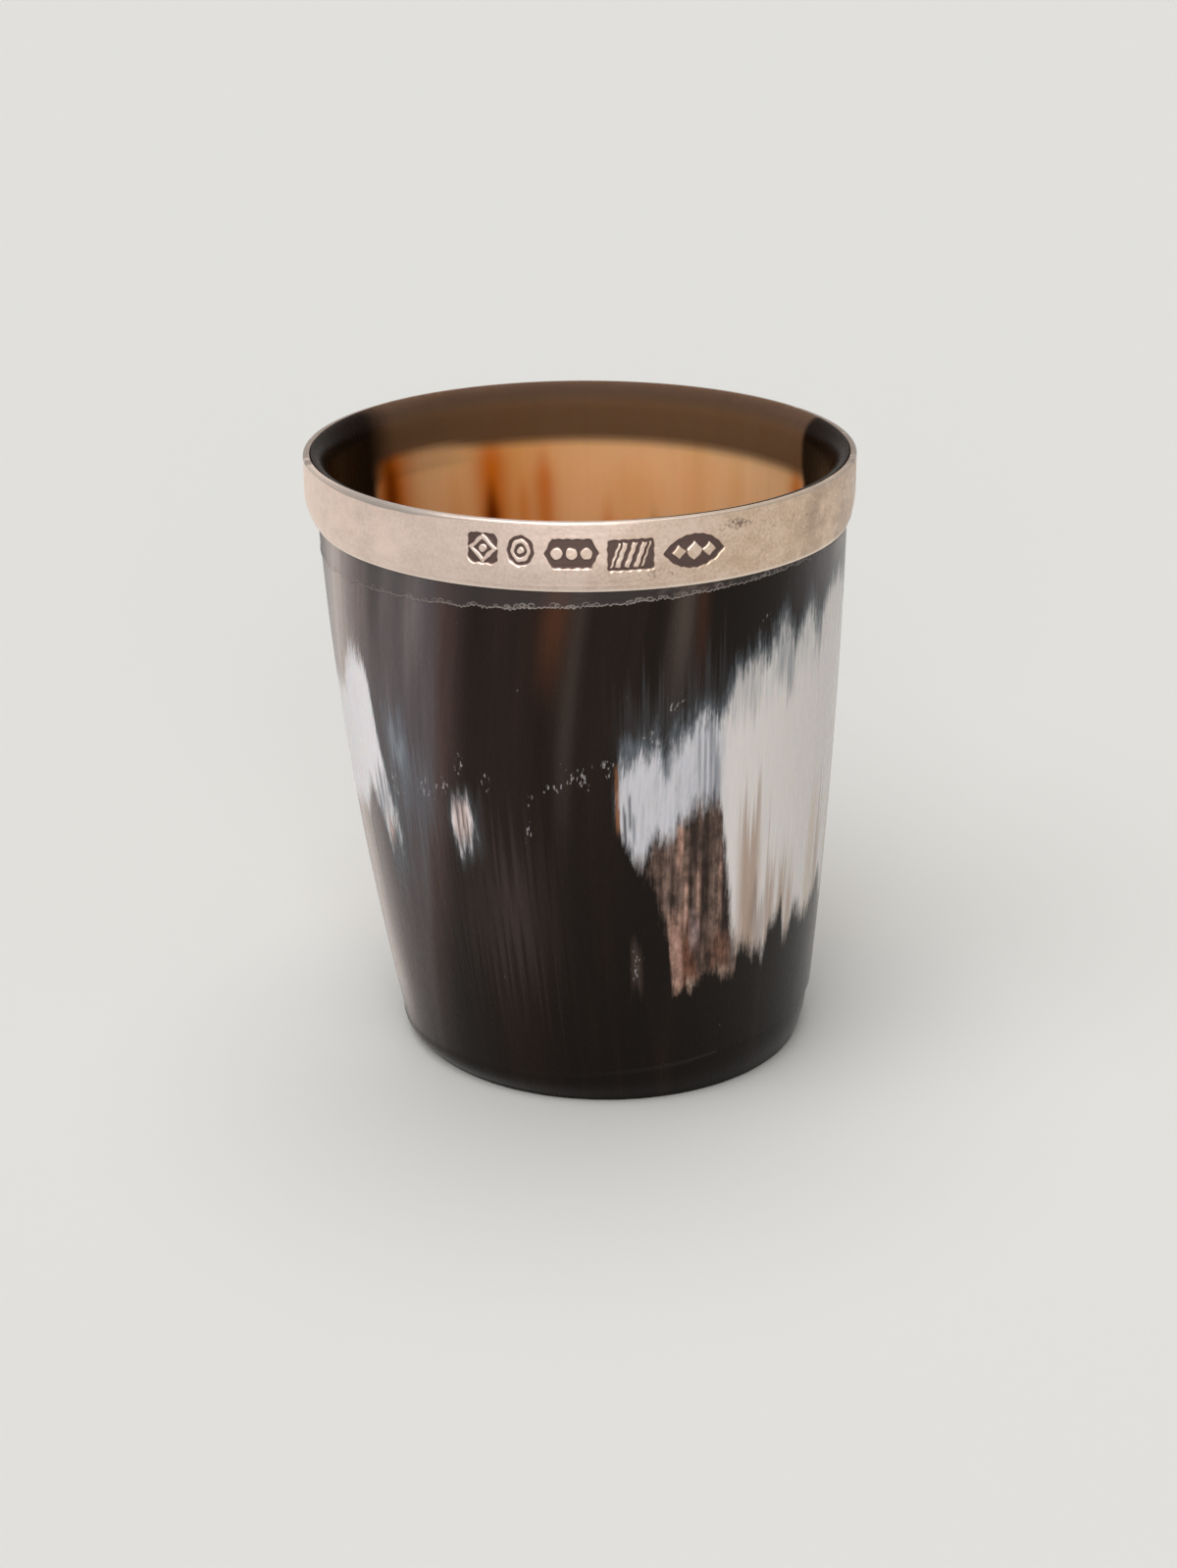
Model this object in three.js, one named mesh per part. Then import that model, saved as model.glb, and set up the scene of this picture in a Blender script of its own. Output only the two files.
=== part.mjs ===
// A horn whisky tot: a tapered cup of turned horn with a silver band round its mouth.
// Millimetres, +Z up. The origin is on the table under the middle of the mouth, and a viewer in front of
// the cup looks along +Y with +X to the right. The horn keeps some of its natural curve, so the foot
// stands to +X of the mouth. Every ring is turned round that leaning axis and stays level.

import { Group, LatheGeometry, MathUtils, Mesh, MeshStandardMaterial, Vector2 } from 'three';

// Driving dimensions of the cup
const TOT_HEIGHT = 57;
const WALL_AT_FOOT = 2.6;
const WALL_AT_MOUTH = 1.25;

// The horn's taper: how much less its outside diameter is than at the neck, just below the silver band
const UPPER_NARROWING = 1.7; // two thirds of the way from the bevel to the neck
const LOWER_NARROWING = 4.6; // one third of the way
const BEVEL_NARROWING = 8.7; // where the bevel of the foot meets the wall

// The horn's lean: how far its axis lies to +X of the mouth's middle
const FOOT_SHIFT = 2.3;
const NECK_SHIFT = 0.22;
const HORN_BOW = -0.25; // at mid height, on top of the straight lean

// The foot, whose bevel is cut a little out of square
const FOOT_EDGE = 0.3; // small break at the edge that stands on the table
const BEVEL_WIDTH = 1.2; // how far in the bevel brings the foot
const BEVEL_HEIGHT = 3.4; // mean height of the line where the bevel meets the wall
const BEVEL_TILT = 4.1; // degrees, higher at +X

// The silver band
const BAND_DIAMETER = 50;
const BAND_HEIGHT = 6.2;
const BAND_THICKNESS = 0.6;
const BAND_TOP_ROUND = 0.4; // radius of the outer top corner
const CURL_HEIGHT = 2.8; // the lower stretch that is turned in to the horn
const CURL_EDGE = 0.15; // silver left at the lower edge

// The lip of the horn inside the band
const LIP_COLLAR_HEIGHT = 0.8; // full-width horn above the cement
const LIP_COLLAR_GAP = 0.1; // between that collar and the silver
const LIP_BELOW_SILVER = 0.1;
const LIP_DEPTH = 2.4; // height of the round-over into the cup

// The cement under the band and where it was squeezed out below it
const CEMENT_GAP = 0.35;
const FILM_THICKNESS = 0.12;
const FILM_DROP = 1.6; // how far the film reaches below the band, at the front
const FILM_SLOPE = 0.055; // how much less it drops for each millimetre towards +X

// The base disc, sprung into a groove of the wall
const DISC_RECESS = 1.2; // from the table up to the disc
const DISC_THICKNESS = 2.8;
const GROOVE_DEPTH = 0.6;
const GROOVE_MARGIN = 0.4; // plain edge of the disc above and below the groove
const SEAL_WIDTH = 1;
const SEAL_HEIGHT = 1;

// Drawn gap between neighbours that touch on the real cup
const SEAT_GAP = 0.05;

// Fineness of the surfaces
const SEGMENTS = 72;
const WALL_ROWS = 8;
const CURL_ROWS = 5;
const ROUND_ROWS = 4;
const LIP_ROWS = 6;

// Sizes worked out from the ones above
const bandRadius = BAND_DIAMETER / 2;
const bandInside = bandRadius - BAND_THICKNESS;
const neckRadius = bandInside - CEMENT_GAP;
const neckHeight = TOT_HEIGHT - BAND_HEIGHT;
const curlTop = neckHeight + CURL_HEIGHT;
const collarHeight = TOT_HEIGHT - LIP_COLLAR_HEIGHT;
const lipTop = TOT_HEIGHT - LIP_BELOW_SILVER;
const lipBottom = lipTop - LIP_DEPTH;
const floorHeight = DISC_RECESS + DISC_THICKNESS;
const sealBottom = floorHeight + SEAT_GAP;
const sealTop = sealBottom + SEAL_HEIGHT;
const bevelRadius = neckRadius - BEVEL_NARROWING / 2;
const footRadius = bevelRadius - BEVEL_WIDTH;

// The horn's outer radius at four heights between the bevel line and the band
const wallStations = [
  [BEVEL_HEIGHT, bevelRadius],
  [MathUtils.lerp(BEVEL_HEIGHT, neckHeight, 1 / 3), neckRadius - LOWER_NARROWING / 2],
  [MathUtils.lerp(BEVEL_HEIGHT, neckHeight, 2 / 3), neckRadius - UPPER_NARROWING / 2],
  [neckHeight, neckRadius],
];

// The value at z of the smooth cubic curve through the stations, each a [z, value] pair.
function throughStations(stations, z) {
  let value = 0;
  for (const [zi, vi] of stations) {
    let share = 1;
    for (const [zj] of stations) {
      if (zj !== zi) share *= (z - zj) / (zi - zj);
    }
    value += share * vi;
  }
  return value;
}

function outerRadius(z) {
  return z >= neckHeight ? neckRadius : throughStations(wallStations, z);
}

function boreRadius(z) {
  const height = Math.max(z, floorHeight);
  return outerRadius(height) - MathUtils.lerp(WALL_AT_FOOT, WALL_AT_MOUTH, height / TOT_HEIGHT);
}

// How far the horn's axis lies to +X at height z. The band and the horn inside it are upright.
function axisShift(z) {
  if (z >= curlTop) return 0;
  if (z >= neckHeight) return NECK_SHIFT * ((curlTop - z) / CURL_HEIGHT) ** 2;
  const t = z / neckHeight;
  return MathUtils.lerp(FOOT_SHIFT, NECK_SHIFT, t) + 4 * HORN_BOW * t * (1 - t);
}

// A ring or disc turned round the leaning axis. sectionAt(side) gives its section as [radius, height]
// pairs, up the outside and down the inside. side is 1 towards +X, 0 at the front and back, -1 towards -X.
function turned(sectionAt) {
  const level = sectionAt(0);
  const geometry = new LatheGeometry(level.map(([r, z]) => new Vector2(r, z)), SEGMENTS);
  const position = geometry.attributes.position;
  for (let column = 0; column <= SEGMENTS; column += 1) {
    const angle = (2 * Math.PI * column) / SEGMENTS;
    const side = Math.sin(angle);
    sectionAt(side).forEach(([r, z], row) => {
      const index = column * level.length + row;
      position.setXYZ(index, axisShift(z) + r * side, -r * Math.cos(angle), z);
    });
  }
  geometry.computeVertexNormals();
  return geometry;
}

// count + 1 even steps from one value to another.
function steps(from, to, count) {
  return Array.from({ length: count + 1 }, (_, k) => MathUtils.lerp(from, to, k / count));
}

// A closed ring's section repeats its first point at its end.
function closed(section) {
  return [...section, section[0]];
}

// The height of the bevel line, which is out of square.
function bevelLine(side) {
  return BEVEL_HEIGHT + Math.tan(MathUtils.degToRad(BEVEL_TILT)) * bevelRadius * side;
}

// The height of the lower edge of the film of cement below the band.
function filmBottom(side) {
  return neckHeight - SEAT_GAP - (FILM_DROP - FILM_SLOPE * neckRadius * side);
}

// The wall has rows where the film and the seal end, so that they follow its faces.
function hornWallSection(side) {
  const bore = boreRadius(floorHeight);
  const collarRadius = bandInside - LIP_COLLAR_GAP;
  const lipInside = boreRadius(lipBottom);
  const lipWidth = collarRadius - lipInside;
  return closed([
    [bore, 0],
    [footRadius - FOOT_EDGE, 0],
    [footRadius, FOOT_EDGE],
    ...steps(bevelLine(side), filmBottom(side), WALL_ROWS).map((z) => [outerRadius(z), z]),
    [neckRadius, neckHeight],
    [neckRadius, curlTop],
    [neckRadius, collarHeight],
    [collarRadius, collarHeight],
    ...steps(0, Math.PI / 2, LIP_ROWS).map((a) => [
      collarRadius - lipWidth * Math.sin(a),
      lipBottom + LIP_DEPTH * Math.cos(a),
    ]),
    ...steps(lipBottom, sealTop, WALL_ROWS).slice(1).map((z) => [boreRadius(z), z]),
    [bore, floorHeight],
    [bore, floorHeight - GROOVE_MARGIN],
    [bore + GROOVE_DEPTH, DISC_RECESS + DISC_THICKNESS / 2],
    [bore, DISC_RECESS + GROOVE_MARGIN],
  ]);
}

function baseDiscSection() {
  const edge = boreRadius(floorHeight) - SEAT_GAP;
  return [
    [0, DISC_RECESS],
    [edge, DISC_RECESS],
    [edge, DISC_RECESS + GROOVE_MARGIN],
    [edge + GROOVE_DEPTH, DISC_RECESS + DISC_THICKNESS / 2],
    [edge, floorHeight - GROOVE_MARGIN],
    [edge, floorHeight],
    [0, floorHeight],
  ];
}

// The fillet of sealant in the corner between the base disc and the wall.
function baseSealSection() {
  const outside = boreRadius(sealBottom) - SEAT_GAP;
  return closed([
    [outside - SEAL_WIDTH, sealBottom],
    [outside, sealBottom],
    [boreRadius(sealTop) - SEAT_GAP, sealTop],
  ]);
}

function silverBandSection() {
  const edgeInside = neckRadius + SEAT_GAP;
  const edgeOutside = edgeInside + CURL_EDGE;
  const outside = steps(1, 0, CURL_ROWS).map((t) => [
    bandRadius - (bandRadius - edgeOutside) * t * t,
    curlTop - CURL_HEIGHT * t,
  ]);
  const topRound = steps(0, Math.PI / 2, ROUND_ROWS).map((a) => [
    bandRadius - BAND_TOP_ROUND * (1 - Math.cos(a)),
    TOT_HEIGHT - BAND_TOP_ROUND * (1 - Math.sin(a)),
  ]);
  const inside = steps(0, 1, CURL_ROWS).map((t) => [
    bandInside - (bandInside - edgeInside) * t * t,
    curlTop - CURL_HEIGHT * t,
  ]);
  return closed([...outside, ...topRound, [bandInside, TOT_HEIGHT], ...inside]);
}

// The bed of cement that fills the space between the horn and the band.
function cementBedSection() {
  const inside = neckRadius + SEAT_GAP;
  const outside = bandInside - SEAT_GAP;
  const top = collarHeight - SEAT_GAP;
  return closed([
    [inside, curlTop],
    [outside, curlTop],
    [outside, top],
    [inside, top],
  ]);
}

// The thin film of cement that was squeezed out below the band and wiped round the horn.
function cementLineSection(side) {
  const top = neckHeight - SEAT_GAP;
  const bottom = filmBottom(side);
  const inside = (z) => outerRadius(z) + SEAT_GAP;
  return closed([
    [inside(bottom), bottom],
    [inside(bottom) + FILM_THICKNESS, bottom],
    [inside(top) + FILM_THICKNESS, top],
    [inside(top), top],
  ]);
}

const horn = { color: 0x2a211c, roughness: 0.3, metalness: 0 };
const silver = { color: 0xc9b3a2, roughness: 0.35, metalness: 1 };
const cement = { color: 0x3a3431, roughness: 0.6, metalness: 0 };
const sealant = { color: 0x8a7a5c, roughness: 0.45, metalness: 0 };

function piece(name, sectionAt, finish) {
  const mesh = new Mesh(turned(sectionAt), new MeshStandardMaterial(finish));
  mesh.name = name;
  return mesh;
}

const tot = new Group();
tot.add(
  piece('horn_wall', hornWallSection, horn),
  piece('base_disc', baseDiscSection, { ...horn, color: 0x3b2c20 }),
  piece('silver_band', silverBandSection, silver),
  piece('cement_bed', cementBedSection, cement),
  piece('cement_line', cementLineSection, cement),
  piece('base_seal', baseSealSection, sealant),
);

export default tot;
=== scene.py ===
import math

import bpy
import numpy as np
from mathutils import Matrix, Vector


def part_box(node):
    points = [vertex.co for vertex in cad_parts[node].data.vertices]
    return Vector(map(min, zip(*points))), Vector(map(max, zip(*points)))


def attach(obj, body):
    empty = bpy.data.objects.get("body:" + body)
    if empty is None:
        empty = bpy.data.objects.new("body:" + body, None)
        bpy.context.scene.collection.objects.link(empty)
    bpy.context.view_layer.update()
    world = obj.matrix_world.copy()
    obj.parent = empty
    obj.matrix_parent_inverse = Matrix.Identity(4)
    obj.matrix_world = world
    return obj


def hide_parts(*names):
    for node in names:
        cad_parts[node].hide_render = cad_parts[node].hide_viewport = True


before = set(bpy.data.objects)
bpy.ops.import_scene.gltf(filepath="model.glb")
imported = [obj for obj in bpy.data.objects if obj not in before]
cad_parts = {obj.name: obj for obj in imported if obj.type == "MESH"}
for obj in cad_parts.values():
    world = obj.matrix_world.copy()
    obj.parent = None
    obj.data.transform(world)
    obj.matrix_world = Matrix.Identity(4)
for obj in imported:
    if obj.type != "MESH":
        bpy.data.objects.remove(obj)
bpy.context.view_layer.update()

# The looks of a horn whisky tot: a leaning cup of turned horn with a silver band round its mouth.
# Sizes are in millimetres until a mesh is made. Angles round the cup are in degrees, 0 at the front (-Y)
# and positive towards +X.

MM = 0.001

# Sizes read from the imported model
band_low, band_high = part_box("silver_band")
disc_low, disc_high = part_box("base_disc")
TOT_HEIGHT = band_high.z / MM
BAND_RADIUS = band_high.x / MM
NECK_HEIGHT = band_low.z / MM
DISC_BOTTOM = disc_low.z / MM
FLOOR_HEIGHT = disc_high.z / MM

# Sizes that the model's boxes don't tell
WALL_AT_FOOT = 2.6
WALL_AT_MOUTH = 1.25
UPPER_NARROWING = 1.7
LOWER_NARROWING = 4.6
BEVEL_NARROWING = 8.7
FOOT_SHIFT = 2.3
NECK_SHIFT = 0.22
HORN_BOW = -0.25
FOOT_EDGE = 0.3
BEVEL_WIDTH = 1.2
BEVEL_HEIGHT = 3.4
BEVEL_TILT = 4.1
BAND_THICKNESS = 0.6
CURL_HEIGHT = 2.8
CURL_EDGE = 0.15
LIP_COLLAR_HEIGHT = 0.8
LIP_COLLAR_GAP = 0.1
LIP_BELOW_SILVER = 0.1
LIP_DEPTH = 2.4
CEMENT_GAP = 0.35
FILM_DROP = 1.6
FILM_SLOPE = 0.055
GROOVE_DEPTH = 0.6
GROOVE_MARGIN = 0.4
SEAT_GAP = 0.05

band_inside = BAND_RADIUS - BAND_THICKNESS
neck_radius = band_inside - CEMENT_GAP
curl_top = NECK_HEIGHT + CURL_HEIGHT
collar_height = TOT_HEIGHT - LIP_COLLAR_HEIGHT
collar_radius = band_inside - LIP_COLLAR_GAP
lip_top = TOT_HEIGHT - LIP_BELOW_SILVER
lip_bottom = lip_top - LIP_DEPTH
bevel_radius = neck_radius - BEVEL_NARROWING / 2
foot_radius = bevel_radius - BEVEL_WIDTH

wall_stations = [
    (BEVEL_HEIGHT, bevel_radius),
    (BEVEL_HEIGHT + (NECK_HEIGHT - BEVEL_HEIGHT) / 3, neck_radius - LOWER_NARROWING / 2),
    (BEVEL_HEIGHT + (NECK_HEIGHT - BEVEL_HEIGHT) * 2 / 3, neck_radius - UPPER_NARROWING / 2),
    (NECK_HEIGHT, neck_radius),
]


def outer_radius(z):
    """The horn's outside radius at height z: a cubic through the stations, upright inside the band."""
    value = np.zeros_like(z)
    for zi, vi in wall_stations:
        share = np.ones_like(z)
        for zj, _ in wall_stations:
            if zj != zi:
                share = share * (z - zj) / (zi - zj)
        value = value + share * vi
    return np.where(z >= NECK_HEIGHT, neck_radius, value)


def bore_radius(z):
    height = np.maximum(z, FLOOR_HEIGHT)
    wall = WALL_AT_FOOT + (WALL_AT_MOUTH - WALL_AT_FOOT) * height / TOT_HEIGHT
    return outer_radius(height) - wall


def axis_shift(z):
    """How far the horn's axis lies to +X at height z."""
    t = z / NECK_HEIGHT
    leaning = FOOT_SHIFT + (NECK_SHIFT - FOOT_SHIFT) * t + 4 * HORN_BOW * t * (1 - t)
    curl = NECK_SHIFT * (np.maximum(curl_top - z, 0) / CURL_HEIGHT) ** 2
    return np.where(z >= NECK_HEIGHT, curl, leaning)


def smooth(value, low, high):
    """0 below low, 1 above high, and a smooth step between them. low may be the larger one."""
    t = np.clip((value - low) / (high - low), 0, 1)
    return t * t * (3 - 2 * t)


def ripple(angle, waves, seed):
    """Smooth irregular waviness round the cup, from about -1 to 1. waves is (fewest, most) per turn."""
    draw = np.random.default_rng(seed)
    counts = np.arange(waves[0], waves[1] + 1)
    phases = draw.uniform(0, 2 * math.pi, len(counts))
    weights = draw.uniform(0.4, 1, len(counts))
    total = sum(w * np.sin(n * np.radians(angle) + p) for n, p, w in zip(counts, phases, weights))
    return total / np.sqrt((weights ** 2).sum())


def apart(angle, other):
    """The signed angle from other to angle, from -180 to 180."""
    return (angle - other + 180) % 360 - 180


# Type and field of a mesh attribute, by how many numbers it has at a point
ATTRIBUTE_KINDS = {1: ("FLOAT", "value"), 3: ("FLOAT_VECTOR", "vector"), 4: ("FLOAT_COLOR", "color")}
SHARP_ANGLE = 38


def add_object(name, data):
    made = bpy.data.objects.new(name, data)
    bpy.context.scene.collection.objects.link(made)
    return made


class Section:
    """Rows of values round a section, with one for every column of the ring."""

    def __init__(self, angle):
        self.column = np.zeros_like(angle)
        self.rows = []

    def add(self, *values):
        self.rows.append([value + self.column for value in values])

    def grids(self):
        return [np.stack(values, 1) for values in zip(*self.rows)]


def ring_mesh(name, angle, radius, z, attributes):
    """A closed ring of quads round the leaning axis. The grids' first index goes round the cup and the
    second round the section. attributes are grids by name."""
    turn = np.radians(angle)
    x = axis_shift(z) + radius * np.sin(turn)
    y = -radius * np.cos(turn)
    columns, rows = z.shape
    points = np.stack([x, y, z], -1).reshape(-1, 3) * MM
    c, r = np.meshgrid(np.arange(columns), np.arange(rows), indexing="ij")
    c2, r2 = (c + 1) % columns, (r + 1) % rows
    quads = np.stack([c * rows + r, c2 * rows + r, c2 * rows + r2, c * rows + r2], -1).reshape(-1, 4)
    mesh = bpy.data.meshes.new(name)
    mesh.from_pydata(points.tolist(), [], quads.tolist())
    mesh.validate()
    for key, values in attributes.items():
        kind, field = ATTRIBUTE_KINDS[values.size // z.size]
        layer = mesh.attributes.new(key, kind, "POINT")
        layer.data.foreach_set(field, values.astype(np.float32).ravel())
    mesh.shade_smooth()
    mesh.set_sharp_from_angle(angle=math.radians(SHARP_ANGLE))
    return add_object(name, mesh)


# The pattern of the horn

# At the front and left, fibres drift towards -X by this angle from the neck down to FIBRE_FOOT
FIBRE_DRIFT = 7
FIBRE_FOOT = 20
DRIFT_RIGHT_END = (34, 10)
DRIFT_LEFT_END = (-150, -100)
GRAIN_RADIUS = 22  # where the grain's coordinates are taken

BLACK = (0.0024, 0.0010, 0.0006)
RUST = (0.060, 0.019, 0.008)
UMBER = (0.022, 0.011, 0.008)
GREY_BROWN_SHEEN = (0.068, 0.049, 0.040)
SLATE = (0.084, 0.071, 0.077)
RED_BROWN = (0.078, 0.045, 0.040)
ROSE_GREY_SHEEN = (0.53, 0.44, 0.415)
ROSE_BROWN = (0.21, 0.155, 0.15)
MAUVE_GREY = (0.17, 0.14, 0.144)
PALE_GREY_SHEEN = (0.46, 0.41, 0.38)
HAZE = (0.040, 0.040, 0.043)
BLUE_GREY = (0.145, 0.165, 0.195)
BLUE_BLACK = (0.028, 0.033, 0.042)
MIST = (0.27, 0.29, 0.32)
HONEY = (0.62, 0.37, 0.17)
AMBER = (0.80, 0.36, 0.10)
TAN = (0.90, 0.52, 0.255)
PALE_AMBER = (0.93, 0.62, 0.36)
ORANGE = (0.70, 0.165, 0.004)
RED_ORANGE = (0.17, 0.024, 0.001)
BLACK_BROWN = (0.010, 0.005, 0.003)
# The next two are painted shade inside the cup: the clear horn under the silver band, and the lip
SHADED_BROWN = (0.195, 0.102, 0.052)
LIP_SHADED_BROWN = (0.115, 0.067, 0.044)
MILKY = (0.69, 0.645, 0.628)
MILKY_GREY = (0.60, 0.585, 0.575)
MILKY_BLUE = (0.57, 0.56, 0.595)
MILKY_LEFT = (0.84, 0.81, 0.845)
PINK_TAN = (0.47, 0.285, 0.225)
TAN_STREAK = (0.41, 0.305, 0.245)
LIGHT_TAN = (0.58, 0.475, 0.385)
TAUPE = (0.105, 0.068, 0.055)
MID_TAUPE = (0.20, 0.135, 0.112)
RUSTY = (0.135, 0.056, 0.034)
MAUVE = (0.25, 0.18, 0.175)
DARK_TAUPE = (0.024, 0.014, 0.011)

# Wide streaks of the dark horn: fibre angle, half width, heights of their fading in, strength, colour.
# Some are painted reflections: the grey brown at 0 and 21.5 stands in for long vertical reflections, and
# the rose grey at -66 and the slate and pale grey at 62, 76 and 78, near the cup's outline, for grazing
# reflections as well as the horn's own tone.
OUTSIDE_STREAKS = [
    (-14, 9, (-10, 20), 0.5, UMBER),
    (8, 8, (10, 40), 0.35, UMBER),
    (-96, 8, (6, 24), 0.8, RUST),
    (-66, 9, (0, 8), 1, ROSE_GREY_SHEEN),
    (-37, 2.6, (36, 48), 0.8, MAUVE_GREY),
    (-44, 2.2, (22, 34), 0.5, MAUVE_GREY),
    (-55.5, 4, (38, 46), 0.7, ROSE_BROWN),
    (-49, 2.6, (38, 50), 0.4, UMBER),
    (-4.5, 3.2, (38, 49), 1, RUST),
    (0, 2, (22, 38), 0.38, GREY_BROWN_SHEEN),
    (21.5, 2.4, (35, 48), 1, GREY_BROWN_SHEEN),
    (25.5, 1.5, (38, 47), 0.5, RUST),
    (62, 9, (40, 51), 1, SLATE),
    (76, 7, (42, 50), 1, PALE_GREY_SHEEN),
    (78, 9, (-6, 10), 0.8, SLATE),
    (96, 6, (4, 16), 0.7, RUST),
]

# Painted reflection: the left side is slate grey, standing in for a reflection and for light showing
# through the horn, up to an edge of (height, angle) points, where reddish brown borders it
SLATE_SHEEN_EDGE = [(4, -49.5), (14.8, -45), (22.4, -41.3), (34, -35), (45, -32), (50.8, -30.5)]
SLATE_SHEEN_END = (-104, -96)
SLATE_SHEEN_FOOT = (-6, 30)
SLATE_SHEEN_SOFTNESS = (1.3, -2.0)
RED_REACH = (12, 0)

# Outlines of the milky patches: their upper and lower edges as (angle, height) points
RIGHT_PATCH_TOP = [
    (5.8, 31), (6.2, 33.8), (6.8, 34.8), (9.4, 34.6), (11.3, 35.6), (12.9, 34.5), (15, 35.9),
    (16.4, 34.5), (17.4, 34.9), (18.5, 35.9), (20.5, 36.7), (23.6, 38), (27.6, 37.9), (29.7, 38.3),
    (31.3, 39.7), (33.8, 41.3), (37.6, 42.5), (42.3, 42.6), (44.6, 44), (47, 45.6), (48.8, 44.7),
    (50.8, 42.4), (53.6, 44.5), (56.5, 46.2), (60.1, 43.7), (63.3, 44.6), (65.3, 46.4), (72.3, 47.4),
    (79, 46.6), (82, 43.5), (86, 45.5), (90, 44), (93, 38), (95.5, 40.5), (98, 35), (101, 37.5),
    (103, 31), (106, 30),
]
RIGHT_PATCH_BOTTOM = [
    (5.8, 31), (6.2, 29.8), (5.9, 28.4), (7.1, 27.1), (8.8, 25.8), (10.4, 24.2), (11.8, 25.7),
    (14.1, 27.4), (18.2, 27.1), (19.8, 28.3), (22.9, 29.1), (24.5, 30.1), (29.5, 29.8), (30.5, 28.8),
    (31.7, 23.9), (33, 18.8), (34, 15.4), (35, 14.8), (41.8, 14), (44.6, 13.2), (46.4, 15.8),
    (49.7, 16.6), (50.8, 19), (51.8, 15), (53, 13.8), (54.8, 14.2), (56.6, 15.8), (62, 15.1), (65, 14.6),
    (72, 18), (77, 14.5), (81, 16), (84, 21.5), (87, 18), (91, 25), (95, 23.5), (98, 29), (101, 27),
    (106, 30),
]
BROWN_PATCH_TOP = [(12, 24.5), (14, 27.6), (18, 28.5), (24, 31), (34, 31), (36.2, 15)]
BROWN_PATCH_BOTTOM = [
    (12, 24.5), (13.5, 23.5), (15, 20), (16.8, 18.6), (17.4, 14), (18.1, 11.8), (19.4, 11.7),
    (21.1, 12.3), (22.9, 11.2), (24.2, 12.2), (27, 13.2), (28.7, 13.4), (31.6, 12.5), (35.6, 12.2),
    (36.2, 15),
]
LEFT_PATCH_TOP = [
    (-106, 29), (-102, 32), (-99, 30.5), (-95, 36), (-91, 34.5), (-87, 39), (-80, 36.8), (-74, 36.8),
    (-69, 38), (-66.6, 39.6), (-64, 41), (-60.9, 41.5), (-57.6, 41.1), (-56.2, 39.5), (-55.4, 37.4),
    (-54.6, 33.6), (-54, 31), (-52.9, 28.4), (-52, 25.6),
]
LEFT_PATCH_BOTTOM = [
    (-106, 29), (-101, 25.5), (-98, 27), (-93, 21), (-89, 24.5), (-84, 22), (-76, 25.2), (-70, 25),
    (-64.5, 25.6), (-62.8, 27.6), (-60.9, 28.5), (-59.8, 27.2), (-57.6, 26), (-55.8, 23.8), (-54.8, 22.8),
    (-53.8, 23.2), (-53, 24.4), (-52, 25.6),
]
SMALL_PATCH_TOP = [
    (-33.2, 28), (-32.6, 29.6), (-31.9, 30.4), (-31.2, 29.2), (-30.3, 31.2), (-29.4, 29.6), (-28.4, 30.7),
    (-27.6, 29.6), (-27.1, 28),
]
SMALL_PATCH_BOTTOM = [
    (-33.2, 28), (-32.8, 26.6), (-32.2, 26.2), (-31.9, 25.8), (-31.2, 25.4), (-30.6, 25.8), (-29.8, 26.6),
    (-28.6, 25.9), (-27.8, 27.2), (-27.1, 28),
]

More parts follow.
